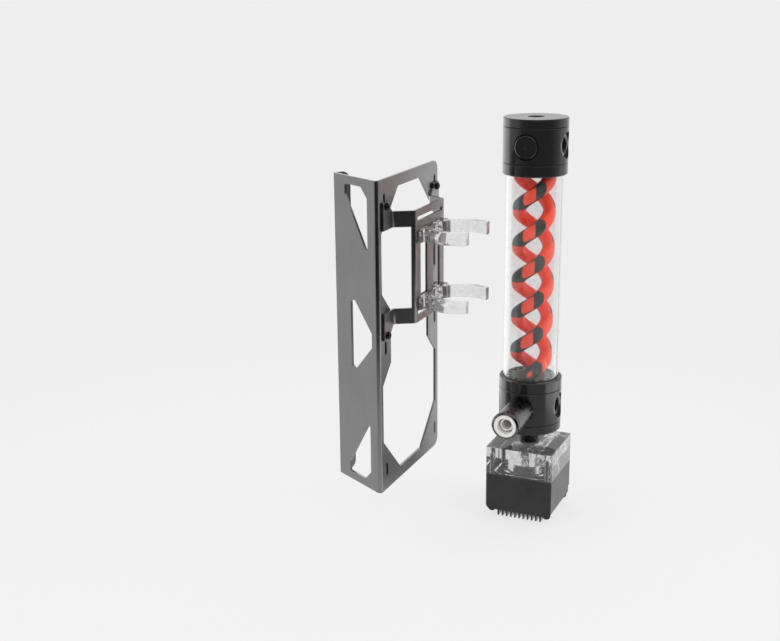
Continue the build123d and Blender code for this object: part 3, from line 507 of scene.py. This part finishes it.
materials = {
    "dark_sheet": makeSheetSteel(),
    "black_steel": makeBlackOxide(),
    "clear_acrylic": makeCastAcrylic("tube"),
    "black_anodised": makeBlackAnodised(),
    "black_rubber": makeNitrile(),
    "red_strand": makeRedWithPaintedReflection(),
    "dark_band": makeDarkAcrylic(),
    "black_brass": makeBlackNickel(),
    "bright_nickel": makeBrightNickel(),
    "black_plastic": makeGlassFilled(),
    "white_ceramic": makeAlumina(),
    "dark_magnet": makeFerrite(),
    "core_iron": makeLaminated(),
    "copper_wire": makeEnamelled(),
    "green_board": makeCircuit(),
    "dark_housing": makeBlasted(),
}
print("materials:", len(materials))

acrylicKinds = {"upper_clip": makeCastAcrylic("clip"), "pump_top": makeCastAcrylic("block")}
acrylicKinds["lower_clip"] = acrylicKinds["upper_clip"]

for nodeName, piece in nodes.items():
    piece.data.materials.clear()
    piece.data.materials.append(acrylicKinds.get(nodeName) or materials[slotOf[nodeName]])


# softened edges on the machined and folded pieces, width in mm, where faces meet at over the angle
softEdges = {"widths": {"main_bracket": 0.22, "clip_carrier": 0.22, "upper_clip": 0.3, "lower_clip": 0.3,
                        "pump_top": 0.4, "pump_housing": 0.4, "upper_clip_strap": 0.2, "lower_clip_strap": 0.2,
                        "fitting_ring": 0.2},
             "angle": 40.0, "segments": 2, "weld": 0.002}


def softenEdges(piece, width):
    weld = piece.modifiers.new("weld", "WELD")
    weld.merge_threshold = softEdges["weld"] * mm
    bevel = piece.modifiers.new("softEdges", "BEVEL")
    bevel.width = width * mm
    bevel.segments = softEdges["segments"]
    bevel.limit_method = "ANGLE"
    bevel.angle_limit = math.radians(softEdges["angle"])
    bevel.harden_normals = True
    bevel.use_clamp_overlap = True


for nodeName, width in softEdges["widths"].items():
    softenEdges(nodes[nodeName], width)
print("edges softened:", len(softEdges["widths"]))


def addObject(name, data):
    piece = bpy.data.objects.new(name, data)
    bpy.context.scene.collection.objects.link(piece)
    return piece


def coilMesh(name, section, turns, pitch, stepsPerTurn, startTurn=0.0, lowLevel=0.0, taperTurns=0.0):
    # section holds (radius, height, u, v) points; the coil climbs right handed about Z, and with
    # taperTurns both its ends thin out
    steps = max(2, round(turns * stepsPerTurn))
    reach = max(point[0] for point in section)
    count = len(section)
    verts, faces, uvs = [], [], []
    for step in range(steps + 1):
        turn = turns * step / steps
        angle = startTurn + 2 * math.pi * turn
        grow = 1.0
        if taperTurns:
            grow = max(thinEnd, min(1.0, turn / taperTurns, (turns - turn) / taperTurns))
        for radius, height, u, v in section:
            shrunk = reach + (radius - reach) * grow if taperTurns else radius
            verts.append((shrunk * math.cos(angle), shrunk * math.sin(angle),
                          lowLevel + pitch * turn + height * grow))
            uvs.append((u, v))
    for step in range(steps):
        for i in range(count):
            j = (i + 1) % count
            a, b = step * count + i, step * count + j
            faces.append((a, b, b + count, a + count))
    faces.append(tuple(reversed(range(count))))
    faces.append(tuple(range(steps * count, (steps + 1) * count)))
    mesh = bpy.data.meshes.new(name)
    mesh.from_pydata(verts, [], faces)
    mesh.polygons.foreach_set("use_smooth", [True] * len(faces))
    layer = mesh.uv_layers.new(name="across")
    for loop in mesh.loops:
        layer.data[loop.index].uv = uvs[loop.vertex_index]
    mesh.validate()
    return addObject(name, mesh)


def placeAlong(piece, place, axis):
    piece.matrix_world = Matrix.Translation(place) @ Vector(axis).to_track_quat("Z", "Y").to_matrix().to_4x4()
    bpy.context.view_layer.update()
    piece.data.transform(piece.matrix_world)
    piece.matrix_world = Matrix.Identity(4)


# the two strands: each one flat rounded section that turns as it climbs. They start a part of
# their half height above the base's top, so that their feet sink into the base
strand = {"pitch": 64.5 * mm, "inner": 7.8 * mm, "outer": 18.8 * mm, "sweep": 80.0, "crossing": 161.7 * mm,
          "footRise": 0.2, "roundness": 2.7, "sectionPoints": 28, "stepsPerTurn": 96}


def makeStrands():
    s = strand
    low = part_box("helix_strand_a")[0][2]
    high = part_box("helix_strand_a")[1][2]
    halfHeight = s["pitch"] * s["sweep"] / 360 / 2
    halfDepth = (s["outer"] - s["inner"]) / 2
    middle = (s["outer"] + s["inner"]) / 2
    section = []
    for k in range(s["sectionPoints"]):
        angle = 2 * math.pi * k / s["sectionPoints"]
        u = math.copysign(abs(math.cos(angle)) ** (2 / s["roundness"]), math.cos(angle))
        v = math.copysign(abs(math.sin(angle)) ** (2 / s["roundness"]), math.sin(angle))
        section.append((middle + halfDepth * u, halfHeight * v, (u + 1) / 2, (v + 1) / 2))
    low += halfHeight * s["footRise"]
    high -= halfHeight
    for name, turned in (("helixStrandA", 0.0), ("helixStrandB", math.pi)):
        start = frontAngle + turned + 2 * math.pi * (low - s["crossing"]) / s["pitch"]
        piece = coilMesh(name, section, (high - low) / s["pitch"], s["pitch"], s["stepsPerTurn"], start, low)
        piece.data.transform(Matrix.Translation((axisX, axisY, 0)))
        piece.data.materials.append(materials["red_strand"])
        letter = name[-1].lower()
        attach(piece, "stand")
        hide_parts("helix_strand_" + letter)


makeStrands()
print("helix swept")

# quarter inch pipe thread in the ports. Its set back from the mouth and its halves are parts of
# the pitch, and the wall gap is how far its root stands off the bore
thread = {"pitch": 1.337 * mm, "depth": 0.55 * mm, "turns": 5, "setBack": 0.6, "wallGap": 0.02 * mm,
          "rootHalf": 0.42, "crestHalf": 0.1, "stepsPerTurn": 40, "taperTurns": 0.2}


def makeThread(name, mountName, material, body):
    s = thread
    mount = mounts[mountName]
    pitch = s["pitch"]
    axis = Vector(mount["axis"])
    place = Vector(mount["pos_m"]) - axis * (s["turns"] + s["setBack"]) * pitch
    radius = mount["dims"]["r_mm"] * mm
    root, crest = radius - s["wallGap"], radius - s["depth"]
    section = [(root, -s["rootHalf"] * pitch, 0, 0), (root, s["rootHalf"] * pitch, 0, 0),
               (crest, s["crestHalf"] * pitch, 0, 0), (crest, -s["crestHalf"] * pitch, 0, 0)]
    piece = coilMesh(name, section, s["turns"], pitch, s["stepsPerTurn"], taperTurns=s["taperTurns"])
    placeAlong(piece, place, axis)
    piece.data.materials.append(materials[material])
    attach(piece, body)


makeThread("fillPortThread", "fill_port", "black_anodised", "stand")
makeThread("topPortThread", "top_side_port", "black_anodised", "stand")
makeThread("bottomPortThread", "bottom_side_port", "black_anodised", "stand")
makeThread("pumpOutletThread", "pump_outlet", "clear_acrylic", "stand")

# M4 thread on the four pump bolts, where they show inside the clear block, drawn proud of the shank
boltThread = {"radius": 2.0 * mm, "crest": 0.22 * mm, "pitch": 0.7 * mm, "length": 17 * mm, "inset": 5.0 * mm,
              "sunk": 0.1 * mm, "start": 1.2 * mm, "rootHalf": 0.45, "crestHalf": 0.06, "stepsPerTurn": 18,
              "taperTurns": 0.5}


def makeBoltThreads():
    s = boltThread
    low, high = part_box("pump_top")
    pitch = s["pitch"]
    root, crest = s["radius"] - s["sunk"], s["radius"] + s["crest"]
    section = [(root, -s["rootHalf"] * pitch, 0, 0), (crest, -s["crestHalf"] * pitch, 0, 0),
               (crest, s["crestHalf"] * pitch, 0, 0), (root, s["rootHalf"] * pitch, 0, 0)]
    corners = [(x, y) for x in (low[0] + s["inset"], high[0] - s["inset"])
               for y in (low[1] + s["inset"], high[1] - s["inset"])]
    for number, (x, y) in enumerate(corners):
        piece = coilMesh("pumpBoltThread" + str(number + 1), section, s["length"] / pitch, pitch,
                         s["stepsPerTurn"], taperTurns=s["taperTurns"])
        placeAlong(piece, Vector((x, y, low[2] + s["start"])), Vector((0, 0, 1)))
        piece.data.materials.append(materials["black_steel"])
        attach(piece, "stand")


makeBoltThreads()
print("threads cut")


# turned pieces: a closed outline of (radius, height) points, spun about an axis
def turnedMesh(name, outline, steps, place, axis, material, body):
    verts, faces = [], []
    count = len(outline)
    for step in range(steps):
        angle = 2 * math.pi * step / steps
        verts += [(r * mm * math.cos(angle), r * mm * math.sin(angle), h * mm) for r, h in outline]
    for step in range(steps):
        a, b = step * count, (step + 1) % steps * count
        faces += [(a + i, b + i, b + (i + 1) % count, a + (i + 1) % count) for i in range(count)]
    mesh = bpy.data.meshes.new(name)
    mesh.from_pydata(verts, [], faces)
    mesh.polygons.foreach_set("use_smooth", [True] * len(faces))
    mesh.set_sharp_from_angle(angle=sharpAngle)
    piece = addObject(name, mesh)
    placeAlong(piece, place, axis)
    piece.data.materials.append(materials[material])
    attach(piece, body)


# Barb inside the fitting, nickel plated, with its bore open: the hose is pushed over it. Heights
# are from the fitting's mouth, inwards below zero, and a ridge's parts are parts of its step
barb = {"outer": 5.94, "ridge": 6.55, "bore": 4.3, "front": -5.2, "length": 26.0, "chamfer": 0.5, "nose": 0.6,
        "ridges": 3, "step": 4.2, "rampEnd": 0.55, "crestEnd": 0.7, "dropEnd": 0.72, "steps": 64}


def makeBarb():
    s = barb
    mouth = mounts["hose_mouth"]
    outline = [(s["bore"], s["front"] - s["length"]), (s["bore"], s["front"] - s["chamfer"]),
               (s["bore"] + s["chamfer"], s["front"]), (s["outer"] - s["chamfer"], s["front"])]
    level = s["front"] - s["nose"]
    for _ in range(s["ridges"]):
        outline += [(s["outer"], level), (s["ridge"], level - s["rampEnd"] * s["step"]),
                    (s["ridge"], level - s["crestEnd"] * s["step"]),
                    (s["outer"], level - s["dropEnd"] * s["step"])]
        level -= s["step"]
    outline += [(s["outer"], s["front"] - s["length"])]
    turnedMesh("hoseBarb", outline[::-1], s["steps"], Vector(mouth["pos_m"]), Vector(mouth["axis"]),
               "bright_nickel", "stand")


# Nickel plated sleeve round the barb, just inside the collar's bore, drawn near white so that its colour also
# carries a painted reflection of the polished bore
boreSleeveSheen = {"inner": 6.86, "outer": 6.94, "front": -1.4, "length": 14.0, "steps": 64}


def makeBoreSleeveSheen():
    s = boreSleeveSheen
    mouth = mounts["hose_mouth"]
    outline = [(s["inner"], s["front"] - s["length"]), (s["inner"], s["front"]), (s["outer"], s["front"]),
               (s["outer"], s["front"] - s["length"])]
    turnedMesh("collarSleeveSheen", outline[::-1], s["steps"], Vector(mouth["pos_m"]), Vector(mouth["axis"]),
               "bright_nickel", "stand")


makeBarb()
makeBoreSleeveSheen()

# Seal faces of the open side ports, cut after the black coat: a bare ring round each bore,
# drawn near white all round with the look of the nickel plate, so that it also serves as a painted highlight at
# each mouth
sealFaceHighlight = {"inner": 6.62, "outer": 8.7, "height": 0.06, "chamfer": 0.5, "sunk": 0.05, "steps": 72}


def makeSealFaceHighlight(name, mountName):
    s = sealFaceHighlight
    port = mounts[mountName]
    outline = [(s["inner"], -s["chamfer"]), (s["inner"] + s["chamfer"], s["height"]), (s["outer"], s["height"]),
               (s["outer"], -s["sunk"])]
    turnedMesh(name, outline, s["steps"], Vector(port["pos_m"]), Vector(port["axis"]), "bright_nickel", "stand")


makeSealFaceHighlight("topPortFaceHighlight", "top_side_port")
makeSealFaceHighlight("bottomPortFaceHighlight", "bottom_side_port")
print("turned pieces made")


# the floor glows as pale as the backdrop, and what it shows of shadow fades out with distance, in metres
backdrop = {"color": "#EEEEEE", "worldLight": 0.95}
floorSetup = {"reach": 4.0, "level": cadBox[0][2], "roughness": 0.9, "shadow": 0.16, "fadeStart": 0.25,
              "fadeEnd": 0.9}


def makeFloor():
    s = floorSetup
    r, level = s["reach"], s["level"]
    mesh = bpy.data.meshes.new("floor")
    mesh.from_pydata([(-r, -r, level), (r, -r, level), (r, r, level), (-r, r, level)], [], [(0, 1, 2, 3)])
    floor = addObject("floor", mesh)
    floor.visible_glossy = False           # metal shows the even backdrop instead
    material, tree, shader = newMaterial("paleFloor")
    shader.inputs["Base Color"].default_value = linearColor(backdrop["color"])
    shader.inputs["Roughness"].default_value = s["roughness"]
    shader.inputs["Specular IOR Level"].default_value = 0.0
    glow = addNode(tree, "Emission", {"Color": backdrop["color"], "Strength": 1.0})
    coords = addNode(tree, "TexCoord")
    far = addNode(tree, "VectorMath", {0: coords.outputs["Object"]}, operation="LENGTH").outputs["Value"]
    fade = addNode(tree, "MapRange", {"Value": far, "From Min": s["fadeStart"], "From Max": s["fadeEnd"],
                                      "To Min": s["shadow"], "To Max": 0.0}, interpolation_type="SMOOTHSTEP")
    path = addNode(tree, "LightPath")
    seen = addNode(tree, "Math", {0: path.outputs["Is Camera Ray"], 1: path.outputs["Is Transmission Ray"]},
                   operation="MAXIMUM")
    shown = addNode(tree, "MixShader", {0: fade, 1: glow, 2: shader})
    mix = addNode(tree, "MixShader", {0: seen, 1: shader, 2: shown})
    tree.links.new(mix.outputs[0], tree.nodes["Material Output"].inputs["Surface"])
    mesh.materials.append(material)


def uprightPanel(name, points, low, high, seenThrough=False):
    # hidden from the camera; its UV runs along the points and up from 0 to 1
    verts = [(x, y, level) for x, y in points for level in (low, high)]
    faces = [(2 * i, 2 * i + 2, 2 * i + 3, 2 * i + 1) for i in range(len(points) - 1)]
    mesh = bpy.data.meshes.new(name)
    mesh.from_pydata(verts, [], faces)
    layer = mesh.uv_layers.new(name="along")
    for loop in mesh.loops:
        layer.data[loop.index].uv = (loop.vertex_index // 2 / (len(points) - 1), loop.vertex_index % 2)
    panel = addObject(name, mesh)
    panel.visible_camera = False
    panel.visible_diffuse = False
    panel.visible_shadow = False
    panel.visible_transmission = seenThrough
    material, tree, _ = newMaterial(name + "Cloth")
    mesh.materials.append(material)
    place = addNode(tree, "SeparateXYZ", {0: addNode(tree, "TexCoord").outputs["UV"]})
    return tree, place


# black card round the camera's side: it gives the metal and acrylic their dark reflections,
# and thins out downwards, where the pale floor would show. Angles are in degrees
card = {"color": "#050505", "middle": (0.05, 0.07), "radius": 1.3, "from": -150.0, "to": 42.0, "softLeft": 40.0,
        "softRight": 60.0, "halfHeight": 1.0, "thin": (0.25, 0.32), "lowCover": 0.3, "steps": 48}


def makeCard():
    s = card
    span = s["to"] - s["from"]
    angles = [math.radians(s["from"] + span * i / s["steps"]) for i in range(s["steps"] + 1)]
    points = [(s["middle"][0] + s["radius"] * math.cos(angle), s["middle"][1] + s["radius"] * math.sin(angle))
              for angle in angles]
    tree, place = uprightPanel("blackCard", points, -s["halfHeight"], s["halfHeight"], True)
    shader = tree.nodes["Principled BSDF"]
    shader.inputs["Base Color"].default_value = linearColor(s["color"])
    shader.inputs["Roughness"].default_value = 1.0
    shader.inputs["Specular IOR Level"].default_value = 0.0
    leftFade = addNode(tree, "MapRange", {"Value": place.outputs["X"], "From Min": 0.0,
                                          "From Max": s["softLeft"] / span}, interpolation_type="SMOOTHSTEP")
    rightFade = addNode(tree, "MapRange", {"Value": place.outputs["X"], "From Min": 1.0,
                                           "From Max": 1 - s["softRight"] / span},
                        interpolation_type="SMOOTHSTEP")
    thinning = addNode(tree, "MapRange", {"Value": place.outputs["Y"], "From Min": s["thin"][0],
                                          "From Max": s["thin"][1], "To Min": s["lowCover"], "To Max": 1.0},
                       interpolation_type="SMOOTHSTEP")
    cover = addNode(tree, "Math", {0: leftFade, 1: rightFade}, operation="MULTIPLY")
    cover = addNode(tree, "Math", {0: cover, 1: thinning}, operation="MULTIPLY")
    # what is seen straight through the acrylic is the pale backdrop, from every side
    path = addNode(tree, "LightPath")
    direct = addNode(tree, "Math", {0: path.outputs["Glossy Depth"], 1: 0.5}, operation="LESS_THAN")
    straight = addNode(tree, "Math", {0: direct, 1: path.outputs["Is Transmission Ray"]}, operation="MULTIPLY")
    bent = addNode(tree, "Math", {0: 1.0, 1: straight}, operation="SUBTRACT")
    cover = addNode(tree, "Math", {0: cover, 1: bent}, operation="MULTIPLY")
    mix = addNode(tree, "MixShader", {0: cover, 1: addNode(tree, "BsdfTransparent"), 2: shader})
    tree.links.new(mix.outputs[0], tree.nodes["Material Output"].inputs["Surface"])


# light panels that only show as reflections, down the sides of the round pieces. Each glows
# from its first strength to its second along its length
panels = {"leftStrip": {"from": (-0.2, 0.112), "to": (-0.16, 0.60), "low": -0.138, "high": 0.30,
                        "glow": (2.6, 0.8)},
          "rightStrip": {"from": (0.40, 0.06), "to": (0.34, 0.42), "low": -0.139, "high": -0.085,
                         "glow": (2.5, 3.0)},
          "rightBox": {"from": (1.0, 0.5), "to": (0.0, 1.45), "low": -1.2, "high": 0.2, "glow": (1.15, 1.15)}}


def makePanels():
    for name, s in panels.items():
        tree, place = uprightPanel(name, [s["from"], s["to"]], s["low"], s["high"])
        strength = addNode(tree, "MapRange", {"Value": place.outputs["X"], "From Min": 0.0, "From Max": 1.0,
                                              "To Min": s["glow"][0], "To Max": s["glow"][1]},
                           interpolation_type="SMOOTHSTEP")
        glow = addNode(tree, "Emission", {"Color": (1, 1, 1, 1), "Strength": strength})
        tree.links.new(glow.outputs[0], tree.nodes["Material Output"].inputs["Surface"])


def makeWorld():
    world = bpy.data.worlds.new("studio")
    bpy.context.scene.world = world
    world.use_nodes = True
    tree = world.node_tree
    soft = tree.nodes["Background"]
    soft.inputs["Color"].default_value = (1, 1, 1, 1)
    soft.inputs["Strength"].default_value = backdrop["worldLight"]
    pale = addNode(tree, "Background", {"Color": backdrop["color"], "Strength": 1.0})
    path = addNode(tree, "LightPath")
    seen = addNode(tree, "Math", {0: path.outputs["Is Camera Ray"], 1: path.outputs["Is Glossy Ray"]},
                   operation="MAXIMUM")
    seen = addNode(tree, "Math", {0: seen, 1: path.outputs["Is Transmission Ray"]}, operation="MAXIMUM")
    mix = addNode(tree, "MixShader", {0: seen, 1: soft, 2: pale})
    tree.links.new(mix.outputs[0], tree.nodes["World Output"].inputs["Surface"])


# place, size and target in metres, power in watts
lamps = {"keyLamp": {"place": (-0.9, -0.9, 1.3), "size": (0.9, 0.9), "power": 9.0},
         "fillLamp": {"place": (1.2, 0.2, 0.9), "size": (0.8, 1.2), "power": 8.0}}
lampTarget = (0.05, 0.07, 0.05)


def makeLamps():
    for name, s in lamps.items():
        lamp = bpy.data.lights.new(name, "AREA")
        lamp.shape = "RECTANGLE"
        lamp.size, lamp.size_y = s["size"]
        lamp.energy = s["power"]
        holder = addObject(name, lamp)
        holder.location = s["place"]
        holder.rotation_mode = "QUATERNION"
        holder.rotation_quaternion = (Vector(lampTarget) - Vector(s["place"])).to_track_quat("-Z", "Y")
        holder.visible_glossy = False
        holder.visible_camera = False
        holder.visible_transmission = False


# place in metres, heading as seen from above, downward and roll in degrees, lens and sensor in mm
cameraSetup = {"place": (0.3840, -0.8391, 0.3370), "heading": (-0.4107, 0.9118), "downward": 15.82,
               "roll": -0.64, "lens": 55.108, "sensor": 36.0}


def makeCamera():
    s = cameraSetup
    down = math.radians(s["downward"])
    forward = Vector((s["heading"][0] * math.cos(down), s["heading"][1] * math.cos(down), -math.sin(down)))
    right = Vector((s["heading"][1], -s["heading"][0], 0.0))
    up = right.cross(forward)
    roll = math.radians(s["roll"])
    axisAcross = math.cos(roll) * right + math.sin(roll) * up
    axisUp = -math.sin(roll) * right + math.cos(roll) * up
    camera = bpy.data.cameras.new("camera")
    camera.lens = s["lens"]
    camera.sensor_width = s["sensor"]
    holder = addObject("camera", camera)
    matrix = Matrix((axisAcross, axisUp, -forward)).transposed().to_4x4()
    matrix.translation = s["place"]
    holder.matrix_world = matrix
    bpy.context.scene.camera = holder


makeFloor()
makeCard()
makePanels()
makeWorld()
makeLamps()
makeCamera()
bpy.context.scene.view_settings.view_transform = "Standard"
print("stage set")
